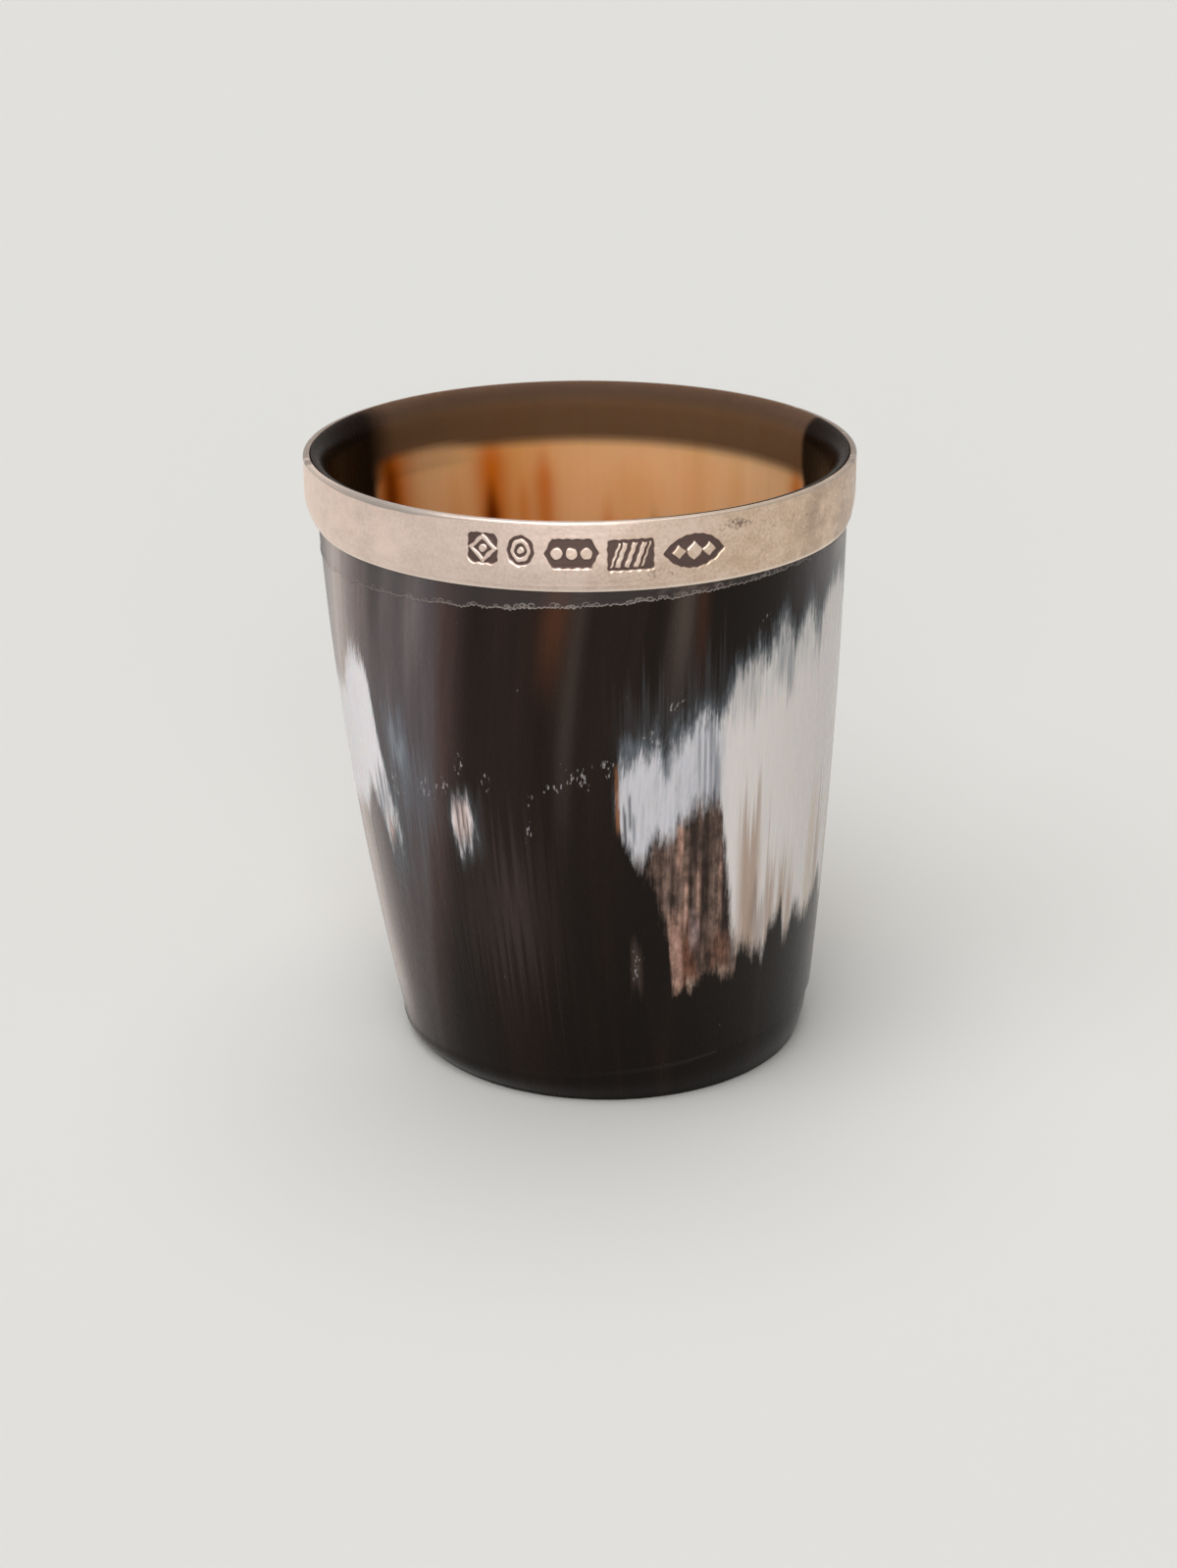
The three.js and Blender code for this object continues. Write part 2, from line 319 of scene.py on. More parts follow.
# Strokes are streaks with ends: angle, half width, low end, high end, how soft the ends are, strength,
# colour. These lie in the milky patches.
MILKY_STROKES = [
    (7.3, 0.35, 27.5, 30.8, 1, 0.8, BLUE_BLACK),
    (8.5, 0.3, 28.3, 31.6, 1, 0.8, BLUE_BLACK),
    (9.3, 0.3, 27, 29.8, 1, 0.7, BLUE_GREY),
    (16.8, 0.9, 33, 36, 1, 0.7, BLUE_GREY),
    (24.5, 0.4, 31, 38.5, 3, 0.5, BLUE_GREY),
    (25.8, 0.35, 28, 36, 3, 0.6, BLUE_GREY),
    (27.3, 0.5, 29, 39, 3, 0.6, BLUE_GREY),
    (28.5, 0.45, 26, 37, 3, 0.8, BLUE_GREY),
    (29.3, 0.3, 27, 34, 3, 0.5, BLUE_BLACK),
    (28.2, 0.35, 27, 31.5, 1.5, 0.9, BLUE_BLACK),
    (22.6, 0.5, 27, 30.5, 1.5, 0.5, BLUE_GREY),
    (10.3, 1, 23, 26, 1.5, 0.6, MID_TAUPE),
    (44, 6, 39.5, 46, 3, 0.8, MILKY_GREY),
    (36, 4, 38.5, 43, 3, 0.35, BLUE_GREY),
    (47.5, 3, 40.5, 45, 3, 0.45, BLUE_GREY),
    (58, 3, 42.5, 47, 3, 0.4, BLUE_GREY),
    (49.6, 1.1, 38.5, 43, 1.5, 0.5, BLUE_GREY),
    (56, 5, 41, 47, 3, 0.8, MILKY_GREY),
    (61, 1.4, 41.5, 46, 2, 0.5, BLUE_GREY),
    (38.6, 3, 14, 28, 5, 0.9, TAN_STREAK),
    (38.8, 2, 12, 22, 5, 0.6, TAN_STREAK),
    (46, 1.6, 13, 22, 5, 0.8, TAN_STREAK),
    (50.5, 1.5, 14, 22, 4, 0.8, TAN_STREAK),
    (42, 2.6, 12, 19.5, 3, 0.5, MID_TAUPE),
    (54, 1.3, 12, 20, 4, 0.8, TAN_STREAK),
    (64, 2.2, 12, 26, 7, 0.7, LIGHT_TAN),
    (68.5, 1.6, 12, 24, 7, 0.8, TAN_STREAK),
    (38, 5, 12, 16, 1.5, 0.5, TAN_STREAK),
    (79, 2.4, 12, 27, 8, 0.6, LIGHT_TAN),
    (84.5, 1.6, 18, 38, 8, 0.6, MILKY_GREY),
    (89, 2.2, 20, 33, 8, 0.7, TAN_STREAK),
    (94, 2.5, 26, 42, 6, 0.6, BLUE_GREY),
    (100, 3, 24, 38, 6, 0.5, BLUE_GREY),
    (-84, 2.2, 20, 33, 6, 0.5, TAN_STREAK),
    (-91, 2.5, 24, 38, 6, 0.6, MILKY_GREY),
    (-98, 3, 22, 36, 6, 0.5, BLUE_GREY),
    (-54, 1.5, 21.5, 25.8, 2, 0.85, PINK_TAN),
    (-57.8, 0.6, 25, 29.5, 2, 0.9, BLUE_GREY),
    (-56.4, 0.4, 24.5, 30.5, 2, 0.7, BLUE_GREY),
    (-55.5, 0.5, 25.5, 29, 2, 0.6, SLATE),
    (-54.4, 0.4, 25.8, 30.5, 2, 0.7, BLUE_GREY),
    (-30.4, 2.4, 25.8, 31.4, 1.5, 0.6, PINK_TAN),
    (-31.2, 0.2, 25.8, 30, 1, 0.9, DARK_TAUPE),
    (-29.8, 0.2, 27.2, 31, 1, 0.9, DARK_TAUPE),
    (-28.9, 0.25, 26, 29, 1, 0.8, DARK_TAUPE),
]

# Strokes of the brown patch
BROWN_STROKES = [
    (20.5, 3.5, 19, 27.5, 2.5, 0.5, MID_TAUPE),
    (18, 0.5, 19.5, 25.5, 2, 0.7, DARK_TAUPE),
    (21.4, 0.45, 19, 24, 2, 0.7, PINK_TAN),
    (22.5, 0.5, 18.5, 24, 2, 0.8, DARK_TAUPE),
    (24.6, 0.5, 19, 25, 2, 0.5, PINK_TAN),
    (19.9, 0.7, 24, 28.6, 1.5, 0.9, PINK_TAN),
    (16.5, 0.7, 18, 25, 2, 0.6, MID_TAUPE),
    (23.3, 1.2, 24, 29.5, 1.5, 0.9, DARK_TAUPE),
    (26.2, 1.1, 18, 29.5, 2, 0.9, DARK_TAUPE),
    (29, 1.3, 15.5, 25.5, 2.5, 0.5, MID_TAUPE),
    (32, 1.2, 16.5, 28, 2, 1, DARK_TAUPE),
    (33.4, 0.4, 18, 26, 2, 0.6, MID_TAUPE),
    (30.2, 0.35, 18, 24, 2, 0.7, PINK_TAN),
    (30.5, 3, 13.2, 16.8, 1.5, 0.6, RUSTY),
    (27.3, 1, 13.4, 16, 1.5, 0.8, DARK_TAUPE),
    (22.2, 2, 12.2, 18.6, 2.5, 0.95, RUSTY),
    (23.4, 1.2, 15.6, 19.4, 1.5, 0.85, MAUVE),
    (18.7, 1.5, 10.5, 19.5, 2, 0.65, PINK_TAN),
    (22.8, 1.3, 10.5, 12.6, 1, 0.5, TAN_STREAK),
    (31.5, 3.4, 11.5, 13.3, 0.8, 0.3, TAN_STREAK),
]

# Strokes on the dark horn beside the patches
DARK_STROKES = [
    (16.5, 9, 34, 40.5, 5, 0.75, HAZE),
    (27, 5, 36, 43, 5, 0.5, HAZE),
    (9.5, 2.5, 34, 36.8, 2, 0.8, BLUE_GREY),
    (-47.8, 3.4, 32.2, 37, 3, 0.75, BLUE_GREY),
    (-47.4, 2.2, 32.4, 34.4, 1.8, 0.7, MIST),
    (-48.8, 1.1, 34.3, 36, 1.4, 0.5, MIST),
    (-44, 7, 27, 33, 4, 0.35, BLUE_GREY),
    (-29, 4, 25, 31, 2, 0.6, HAZE),
    (9, 1.2, 12.4, 16.6, 2.5, 0.45, TAUPE),
    (-24, 14, 14, 26, 8, 0.055, MAUVE),
    (-20, 4, 16, 24, 6, 0.05, MAUVE),
    (-45.5, 1.6, 30, 33, 2.5, 0.4, BLUE_GREY),
]

# Small flecks: angle, half width, height, half height, strength
FLECK_PLACES = [
    (-29.5, 1.8, 33.8, 1.8, 1), (-23, 3, 32.6, 1.2, 1), (-40, 5, 30.8, 1.6, 1), (-34.5, 3, 31.2, 1.4, 1),
    (-13.8, 2, 31.3, 0.9, 1), (-14, 1.8, 28, 1.8, 1), (-2.5, 4.5, 33.6, 1.7, 1), (4, 2, 34.4, 1.4, 1),
    (18.8, 2.6, 39.8, 1.6, 1), (15, 4, 36.9, 1.1, 1), (-49, 3, 30, 3, 1), (8.8, 1.6, 14.8, 2.4, 1),
    (42, 1.5, 46.4, 1, 1), (-8, 4, 32.6, 0.9, 1),
]

# Streaks of the clear horn at the back: angle, half width, height of their top, strength, colour
CLEAR_STREAKS = [
    (138, 20, 60, 0.35, PALE_AMBER),
    (-126, 7.5, 57, 1, ORANGE),
    (-125.5, 3, 54, 0.85, RED_ORANGE),
    (-146, 3, 51, 0.35, AMBER),
    (-161, 12, 57, 0.75, AMBER),
    (-156.5, 4.2, 54, 0.95, ORANGE),
    (-156, 2.1, 49, 1, RED_ORANGE),
    (-164.5, 1.8, 49.5, 0.5, ORANGE),
    (-170, 2.8, 52, 0.75, ORANGE),
    (174, 2, 47, 0.6, ORANGE),
    (162, 1.8, 46, 0.5, BLACK_BROWN),
    (168, 8, 51, 0.4, AMBER),
    (150, 5, 54, 0.35, AMBER),
    (139, 3, 53, 0.3, AMBER),
    (116.5, 3.6, 54, 0.9, ORANGE),
]
CLEAR_FROM = 113.5
CLEAR_TO = -119.5
CLEAR_MIDDLE = 176

# Painted shade inside the cup: the clear horn is painted a shaded brown above this height, where the
# silver band keeps light from coming through it, and a little higher at the left end, which also gets a
# painted half shade below it. The lip is painted darker still.
LIT_HEIGHT = 51.4
LIT_FADE = 0.7
LEFT_END = (-158, -140)
LEFT_RISE = 0.7
LEFT_SHADE = (49.7, 50.3)
LIP_SHADE = (54.9, 56.4)
DARK_FOOT = (7, 20)

# Softer edges: the right patch's seam with the brown one, the left patch's right edge and the brown
# patch's left edge
SEAM_AT = 31.8
SEAM_REACH = (4.5, 2.5)
SEAM_TOP = (28.5, 26.5)
LEFT_SOFT = (-58, -55.5)
LEFT_SOFT_TOP = (38, 34)
BROWN_SOFT = (20, 17)

# The orange rim on the right patch's front edge: its middle height and its reach
RIM_AT = 31.4
RIM_REACH = (3.8, 2.2)
NO_PATCH = -30  # added to a patch's depth on the bore and the lip, which have none


def fibre_angle(angle, z):
    """The angle at the neck of the fibre that passes through a place."""
    t = np.clip((z - FIBRE_FOOT) / (NECK_HEIGHT - FIBRE_FOOT), 0, 1)
    share = smooth(angle, *DRIFT_RIGHT_END) * smooth(angle, *DRIFT_LEFT_END)
    return angle + FIBRE_DRIFT * share * (1 - t * t)


def fibre_jitter(angle, waves, seed):
    """Unevenness from fibre to fibre, about -1 to 1."""
    table = np.arange(-180, 180.1, 0.1)
    return np.interp(apart(angle, 0), table, ripple(table, waves, seed))


def blend_in(tone, share, colour):
    """Mixes a colour into a grid of colours by a grid of shares."""
    return tone + np.asarray(share)[..., None] * (np.array(colour) - tone)


def plain(angle, colour):
    """A grid of one colour."""
    return np.zeros(angle.shape + (3,)) + np.array(colour)


def near_spots(spots, angle, z):
    """How near a place is to the nearest spot, from 0 to the spot's strength."""
    share = np.zeros_like(z)
    for centre, width, height, reach, strength in spots:
        near = np.exp(-(apart(angle, centre) / width) ** 2 - ((z - height) / reach) ** 2)
        share = np.maximum(share, strength * near)
    return share


def paint(tone, strokes, angle, z):
    ragged = 0.5 * fibre_jitter(angle, (60, 500), 31)
    for centre, width, low, high, fade, strength, colour in strokes:
        across = smooth(np.abs(apart(angle, centre)), 1.6 * width, 0.4 * width)
        along = smooth(z + fade * ragged, low - fade / 2, low + fade / 2)
        along = along * smooth(z + fade * ragged, high + fade / 2, high - fade / 2)
        tone = blend_in(tone, strength * across * along, colour)
    return tone


def with_alpha(tone):
    return np.concatenate([tone, np.ones(tone.shape[:-1] + (1,))], -1)


def clear_share(angle, z):
    """1 where the horn is clear, at the back. Its wavy border is softer at the top left."""
    wave = np.sin(0.13 * z) + 0.6 * np.sin(0.41 * z + 1)
    from_right = smooth(apart(angle, CLEAR_FROM) + wave, -0.7, 1.5)
    from_left = smooth(apart(angle, CLEAR_TO), 1.5, -2 - 9 * smooth(z, 49, 53))
    return from_right * from_left * (np.abs(apart(angle, CLEAR_MIDDLE)) < 90)


def clear_tone(angle, z, base):
    clear = plain(angle, base)
    for centre, width, top, strength, colour in CLEAR_STREAKS:
        lower = smooth(z, top + 0.5, top - 5)
        across = np.exp(-(apart(angle, centre) / (width * (0.45 + 0.55 * lower))) ** 2)
        clear = blend_in(clear, strength * across * lower, colour)
    return clear


def outside_tone(angle, z):
    fibre = fibre_angle(angle, z)
    tone = plain(angle, BLACK)
    # Painted reflection: the slate grey of the left side
    from_edge = angle - np.interp(z, *zip(*SLATE_SHEEN_EDGE))
    slate = smooth(angle, *SLATE_SHEEN_END) * smooth(z, *SLATE_SHEEN_FOOT)
    tone = blend_in(tone, 0.8 * slate * smooth(from_edge, *RED_REACH) ** 2, RED_BROWN)
    tone = blend_in(tone, slate * smooth(from_edge, *SLATE_SHEEN_SOFTNESS), SLATE)
    # Some of these streaks are painted reflections
    for centre, width, fade, strength, colour in OUTSIDE_STREAKS:
        across = np.exp(-(apart(fibre, centre) / width) ** 2)
        tone = blend_in(tone, strength * across * smooth(z, *fade), colour)
    tone = paint(tone, DARK_STROKES, angle, z)
    share = clear_share(angle, z) * smooth(z + 2 * fibre_jitter(fibre, (4, 24), 21), *DARK_FOOT)
    return blend_in(tone, share, clear_tone(angle, z, HONEY))


def inside_tone(angle, z):
    clear = clear_tone(angle, z, TAN)
    on_left = smooth(angle, *LEFT_END) * (angle < 0)
    # Painted shade: a half shade low at the left end, a shaded brown above the lit height, where the
    # silver band keeps light from coming through the horn, and a darker lip
    clear = clear * (1 - 0.2 * (on_left * smooth(z, *LEFT_SHADE))[..., None])
    shaded = blend_in(0.16 * clear, 0.75, SHADED_BROWN)
    lit = LIT_HEIGHT + LEFT_RISE * on_left
    clear = blend_in(clear, smooth(z - lit, -LIT_FADE, LIT_FADE), shaded)
    clear = blend_in(clear, smooth(z, *LIP_SHADE), LIP_SHADED_BROWN)
    return blend_in(plain(angle, BLACK_BROWN), clear_share(angle, z) * smooth(z, *DARK_FOOT), clear)


def milky_tone(angle, z):
    milky = blend_in(plain(angle, MILKY), smooth(angle, 33, 28), MILKY_BLUE)
    milky = blend_in(milky, smooth(angle, -20, -22), MILKY_LEFT)
    return paint(milky, MILKY_STROKES, angle, z)


def brown_tone(angle, z):
    return paint(plain(angle, TAUPE), BROWN_STROKES, angle, z)


def patch_depth(angle, z, top, bottom):
    """How many millimetres inside a patch's edge a place lies, and how far below its upper edge."""
    above = np.interp(angle, *zip(*top)) - z
    below = z - np.interp(angle, *zip(*bottom))
    beside = np.minimum(angle - top[0][0], top[-1][0] - angle)
    depth = np.minimum(above, below)
    return np.where(beside < 0, np.minimum(depth, beside * 1.2 - 0.3), depth), above


def horn_attributes(angle, z, inside):
    """What the horn's material reads. inside is 1 on the bore and the lip, else 0."""
    signed = apart(angle, 0)
    turn = np.radians(fibre_angle(signed, z))
    tone = blend_in(outside_tone(signed, z), inside, inside_tone(signed, z))
    outside = 1 - inside
    grain = np.stack([GRAIN_RADIUS * np.sin(turn), -GRAIN_RADIUS * np.cos(turn), z], -1)
    right, above = patch_depth(signed, z, RIGHT_PATCH_TOP, RIGHT_PATCH_BOTTOM)
    right = right * (1 - 0.6 * smooth(np.abs(signed - SEAM_AT), *SEAM_REACH) * smooth(z, *SEAM_TOP))
    left, _ = patch_depth(signed, z, LEFT_PATCH_TOP, LEFT_PATCH_BOTTOM)
    left = left * (1 - 0.55 * smooth(signed, *LEFT_SOFT) * smooth(z, *LEFT_SOFT_TOP))
    small, _ = patch_depth(signed, z, SMALL_PATCH_TOP, SMALL_PATCH_BOTTOM)
    brown, _ = patch_depth(signed, z, BROWN_PATCH_TOP, BROWN_PATCH_BOTTOM)
    brown = brown * (1 - 0.55 * smooth(signed, *BROWN_SOFT))
    on_right = smooth(signed, 4, 7)
    on_left = smooth(signed, -59, -55) * smooth(signed, -42, -46)
    near_small = smooth(np.abs(signed + 30), 5, 3) * smooth(z, 33, 30)
    fringe = np.maximum(on_right * smooth(above, 6, 3), on_left * smooth(z, 40, 36))
    fringe = np.maximum(fringe, 0.5 * near_small)
    return {
        "grain": grain,
        "tone": with_alpha(tone),
        "milky_tone": with_alpha(milky_tone(signed, z)),
        "brown_tone": with_alpha(brown_tone(signed, z)),
        "milky": np.maximum(np.maximum(right, left), small) + NO_PATCH * inside,
        "ragged": 0.75 + 0.35 * np.maximum(on_right * smooth(above, 8, 3), on_left),
        "streaky": np.maximum(on_right * np.maximum(smooth(above, 7, 2), smooth(signed, 32, 28)), on_left),
        "fringe": fringe * outside,
        "brown": brown + NO_PATCH * inside,
        "flecks": near_spots(FLECK_PLACES, signed, z) * outside,
        "from_edge": np.radians(signed - RIGHT_PATCH_TOP[0][0]) * GRAIN_RADIUS,
        "edge_height": smooth(np.abs(z - RIM_AT), *RIM_REACH) * outside,
        "inside": inside,
    }


# Meshes

FRONT_STEP = 0.35
BACK_STEP = 0.9
BEVEL_ROWS = 10
WALL_ROWS = 170
BORE_ROWS = 110
LIP_ROWS = 26

# The lip rises level with the silver, except at the front left
LIP_RISE = 0.09
LIP_LOW_AT = -30
LIP_LOW_REACH = (30, 52)

# Small roundings: the bore's lower edge, the line where bevel and wall meet, and the bevel
BORE_ROUND = 0.25
LINE_ROUND = 0.12
BEVEL_BELLY = 0.25


def horn_section(angle):
    """Radius, height and whether it is inside, round the horn wall's section for each column."""
    line = BEVEL_HEIGHT + math.tan(math.radians(BEVEL_TILT)) * bevel_radius * np.sin(np.radians(angle))
    bore = bore_radius(FLOOR_HEIGHT)
    section = Section(angle)
    for radius, height in [
        (bore, DISC_BOTTOM + GROOVE_MARGIN), (bore, DISC_BOTTOM), (bore, BORE_ROUND),
        (bore + 0.2 * BORE_ROUND, 0.28 * BORE_ROUND), (bore + 0.8 * BORE_ROUND, 0),
        ((bore + foot_radius) / 2, 0), (foot_radius - FOOT_EDGE, 0),
        (foot_radius - FOOT_EDGE * 0.3, FOOT_EDGE * 0.3),
    ]:
        section.add(radius, height, 0)
    for t in np.linspace(0, 1, BEVEL_ROWS):
        belly = BEVEL_BELLY * math.sin(math.pi * t)
        section.add(foot_radius + (bevel_radius - LINE_ROUND - foot_radius) * t + belly,
                    FOOT_EDGE + (line - LINE_ROUND - FOOT_EDGE) * t, 0)
    for t in np.linspace(0, 1, WALL_ROWS):
        height = line + LINE_ROUND + (NECK_HEIGHT - line - LINE_ROUND) * t
        section.add(outer_radius(height), height, 0)
    section.add(neck_radius, curl_top, 0)
    section.add(neck_radius, collar_height, 0)
    section.add(collar_radius, collar_height, 0)
    lip_width = collar_radius - bore_radius(lip_bottom)
    depth = LIP_DEPTH + LIP_RISE * smooth(np.abs(apart(angle, LIP_LOW_AT)), *LIP_LOW_REACH)
    for a in np.linspace(0, math.pi / 2, LIP_ROWS):
        section.add(collar_radius - lip_width * math.sin(a), lip_bottom + depth * math.cos(a), 1)
    for height in np.linspace(lip_bottom, FLOOR_HEIGHT, BORE_ROWS)[1:]:
        section.add(bore_radius(height), height, 1)
    section.add(bore, FLOOR_HEIGHT - GROOVE_MARGIN, 1)
    section.add(bore + GROOVE_DEPTH, (DISC_BOTTOM + FLOOR_HEIGHT) / 2, 1)
    return section.grids()


def make_horn_wall():
    """The horn wall. Its clear back and its inside have materials of their own."""
    angle = np.concatenate([
        np.arange(-180, -80, BACK_STEP), np.arange(-80, 84, FRONT_STEP), np.arange(84, 180, BACK_STEP),
    ])
    radius, z, inside = horn_section(angle)
    around = np.broadcast_to(angle[:, None], z.shape)
    cup = ring_mesh("horn_cup", around, radius, z, horn_attributes(around, z, inside))
    slot = np.where(inside > 0.5, 2, clear_share(around, z) > 0.02)
    cup.data.polygons.foreach_set("material_index", slot.astype(np.int32).ravel())
    return cup


# The punches struck into the band, plain signs in plain outlines: outline, place along the band from the
# front, height, width, tallness, sign
PUNCH_DEPTH = 0.17
MOTIF_DEPTH = 0.05
PUNCH_WOBBLE = 0.03
PUNCHES_END = 60  # no punch lies further round than this angle
LOZENGE_HALF = 1.05
BEAD_STEP = 1.25
BAR_STEP = 0.8
DIAMOND_STEP = 1.4
PUNCHES = [
    ("square", -8.3, 54.48, 2.7, 2.75, "lozenge"),
    ("oval", -5.0, 54.48, 2.35, 2.75, "ring"),
    ("hexagon", -0.7, 54.3, 4.65, 2.65, "beads"),
    ("block", 4.3, 54.08, 4.05, 2.8, "bars"),
    ("lens", 9.9, 53.96, 5.7, 3.1, "diamonds"),
]


def round_box(u, v, half_u, half_v, corner):
    """Distance inside a rectangle with rounded corners, positive inside it."""
    du, dv = np.abs(u) - half_u + corner, np.abs(v) - half_v + corner
    return corner - np.hypot(np.maximum(du, 0), np.maximum(dv, 0)) - np.minimum(np.maximum(du, dv), 0)


def punch_outline(kind, u, v, width, height):
    w, h = width / 2, height / 2
    if kind == "square":
        return round_box(u, v, w, h, 0.55)
    if kind == "oval":
        return (1 - np.hypot(u / w, v / h)) * min(w, h)
    if kind == "hexagon":
        return np.minimum(h - np.abs(v), (w - np.abs(u) - 0.5 * np.abs(v)) * 0.9)
    if kind == "block":
        return round_box(u, v, w, h, 0.3)
    radius = (w * w + h * h) / (2 * h)
    return radius - np.hypot(u, np.abs(v) + radius - h)


def punch_motif(kind, u, v):
    if kind == "lozenge":
        frame_line = 0.17 - np.abs(LOZENGE_HALF - np.abs(u) - np.abs(v)) / math.sqrt(2)
        return np.maximum(frame_line, 0.34 - np.hypot(u, v))
    if kind == "ring":
        return np.maximum(0.19 - np.abs(np.hypot(u / 0.85, v) - 0.8), 0.3 - np.hypot(u, v))
    if kind == "beads":
        near = u - np.clip(np.round(u / BEAD_STEP), -1, 1) * BEAD_STEP
        return 0.52 - np.hypot(near, v)
    if kind == "bars":
        slanted = u - 0.35 * v
        near = slanted - np.clip(np.round(slanted / BAR_STEP), -1.5, 1.5) * BAR_STEP
        return np.minimum(0.22 - np.abs(near), 1.05 - np.abs(v))
    place = np.clip(np.round(u / DIAMOND_STEP), -1, 1)
    near = u - place * DIAMOND_STEP
    size = 0.82 - 0.2 * np.abs(place)
    return (1 - (np.abs(near) + np.abs(v)) / size) * size * 0.7


def punched(along, z):
    """How deep the punches go at each place of the band, and how oxidised it is there, from 0 to 1."""
    along = along + PUNCH_WOBBLE * np.sin(7.3 * z + 2.1 * along)
    z = z + PUNCH_WOBBLE * np.sin(8.1 * along)
    depth = np.zeros_like(along)
    oxide = np.zeros_like(along)
    for outline, centre, height, width, tall, motif in PUNCHES:
        u, v = along - centre, z - height
        hollow = smooth(punch_outline(outline, u, v, width, tall), -0.03, 0.13)
        raised = smooth(punch_motif(motif, u, v), -0.07, 0.07)
        depth = np.maximum(depth, hollow * (PUNCH_DEPTH - (PUNCH_DEPTH - MOTIF_DEPTH) * raised))
        oxide = np.maximum(oxide, hollow * (1 - 0.92 * raised))
    return depth, oxide


# The band's columns, which are close together where the punches are
BAND_STEP = 0.75
PUNCH_STEP = 0.1
PUNCHED_FROM = -25
PUNCHED_TO = 31

# The rounding of the band's top edge, and how much more it is where the edge is worn
TOP_ROUND = 0.2
WORN_ROUND = 0.34
WORN_AT = -42
WORN_WIDTH = 17
DENT = 0.018
BACK_DROP = 0.12  # how much lower the silver's top edge is at the back
BACK_REACH = (60, 90)

# Tarnished spots of the silver: angle, half width, height, half height, strength
STAINS = [
    (33, 9, 55.6, 0.8, 1), (40, 8, 54.6, 0.8, 0.6), (14, 9, 52.3, 0.7, 0.7), (52, 14, 54.8, 1.6, 0.45),
    (24, 5, 55.8, 0.5, 0.7), (-30, 12, 53.6, 1.4, 0.35), (-62, 8, 54, 1.5, 0.4), (120, 30, 54, 2, 0.6),
    (-140, 30, 54, 2, 0.6),
]


def behind(angle):
    """0 at the front of the cup and 1 at its back."""
    return smooth(np.abs(apart(angle, 0)), *BACK_REACH)


def band_section(angle):
    """Radius, height, oxide and chamfer round the band's section for each column."""
    edge_inside = neck_radius + SEAT_GAP
    edge_outside = edge_inside + CURL_EDGE
    worn = np.exp(-(apart(angle, WORN_AT) / WORN_WIDTH) ** 2)
    top_round = TOP_ROUND + WORN_ROUND * worn * (1 + 0.25 * ripple(angle, (9, 40), 5))
    dent = DENT * np.maximum(1 + ripple(angle, (2, 9), 11), 0)
    section = Section(angle)
    for t in np.linspace(1, 0, 26):
        section.add(BAND_RADIUS - (BAND_RADIUS - edge_outside) * t * t, curl_top - CURL_HEIGHT * t, 0)
    top = TOT_HEIGHT - BACK_DROP * behind(angle)
    for t in np.linspace(0, 1, 60)[1:]:
        section.add(BAND_RADIUS, curl_top + (top - top_round - curl_top) * t, 0)
    # The rounded top edge carries how strongly it is painted grey: partly tarnish, partly a painted darker
    # reflection
    for a in np.linspace(0, math.pi / 2, 9)[1:]:
        across, rise = 1 - math.cos(a), 1 - math.sin(a)
        section.add(BAND_RADIUS - 0.9 * top_round * across, top - top_round * rise, 0.5 + 0.5 * worn)
    section.add(band_inside + 0.03, top, 0)
    section.add(band_inside, top - 0.03, 0)
    section.add(band_inside, TOT_HEIGHT - 1, 0)
    for t in np.linspace(0, 1, 12):
        section.add(band_inside - (band_inside - edge_inside) * t * t, curl_top - CURL_HEIGHT * t, 0)
    radius, z, chamfer = section.grids()
    along = np.radians(angle) * BAND_RADIUS
    depth, oxide = punched(np.broadcast_to(along[:, None], z.shape), z)
    front = np.abs(apart(angle, 0))[:, None] < PUNCHES_END
    outside = (radius > band_inside + 0.2) & front
    radius = radius - np.where(outside, depth, 0)
    inside_band = radius < band_inside + 0.1
    radius = np.where(inside_band, radius, np.maximum(radius - dent[:, None], band_inside + 0.15))
    low_edge = z < NECK_HEIGHT + 0.4
    radius = np.where(low_edge & ~inside_band, np.maximum(radius, edge_outside), radius)
    return radius, z, np.where(outside, oxide, 0), chamfer


def make_band():
    angle = np.concatenate([
        np.arange(-180, PUNCHED_FROM, BAND_STEP), np.arange(PUNCHED_FROM, PUNCHED_TO, PUNCH_STEP),
        np.arange(PUNCHED_TO, 180, BAND_STEP),
    ])
    radius, z, oxide, chamfer = band_section(angle)
    around = np.broadcast_to(angle[:, None], z.shape)
    back_edge = 1.6 * behind(around) * smooth(z, TOT_HEIGHT - 0.35, TOT_HEIGHT - 0.2)
    return ring_mesh("silver_rim", around, radius, z, {
        "oxide": oxide,
        "chamfer": chamfer,
        # Painted light and shade across the band: brighter at the left, darker at the right
        "side": np.sin(np.radians(around)),
        # Painted highlight along the curled lower edge
        "low_rim_highlight": smooth(z, NECK_HEIGHT + 0.35, NECK_HEIGHT + 0.1),
        "stained": np.maximum(near_spots(STAINS, around, z), back_edge),
    })


FILM_ROWS = 40
FILM_THICKNESS = 0.1
FILM_SHORTER = 0.2  # how much less it reaches down than the solid
FILM_LEAST = 0.12
BUBBLES = 260
BUBBLE_RADII = (0.1, 0.24)
BUBBLE_RIDGE = 0.045
FILM_LIFT = 0.012  # how far it stands off the horn
FILM_SUNK = 0.03  # how deep its back lies in the horn


def film_edge(angle):
    """Height of the ragged lower edge of the cement film."""
    drop = FILM_DROP - FILM_SHORTER - FILM_SLOPE * neck_radius * np.sin(np.radians(angle))
    rough = 0.09 * ripple(angle, (20, 90), 3) + 0.06 * ripple(angle, (150, 480), 4)
    return NECK_HEIGHT - SEAT_GAP - np.maximum(drop + rough, FILM_LEAST)


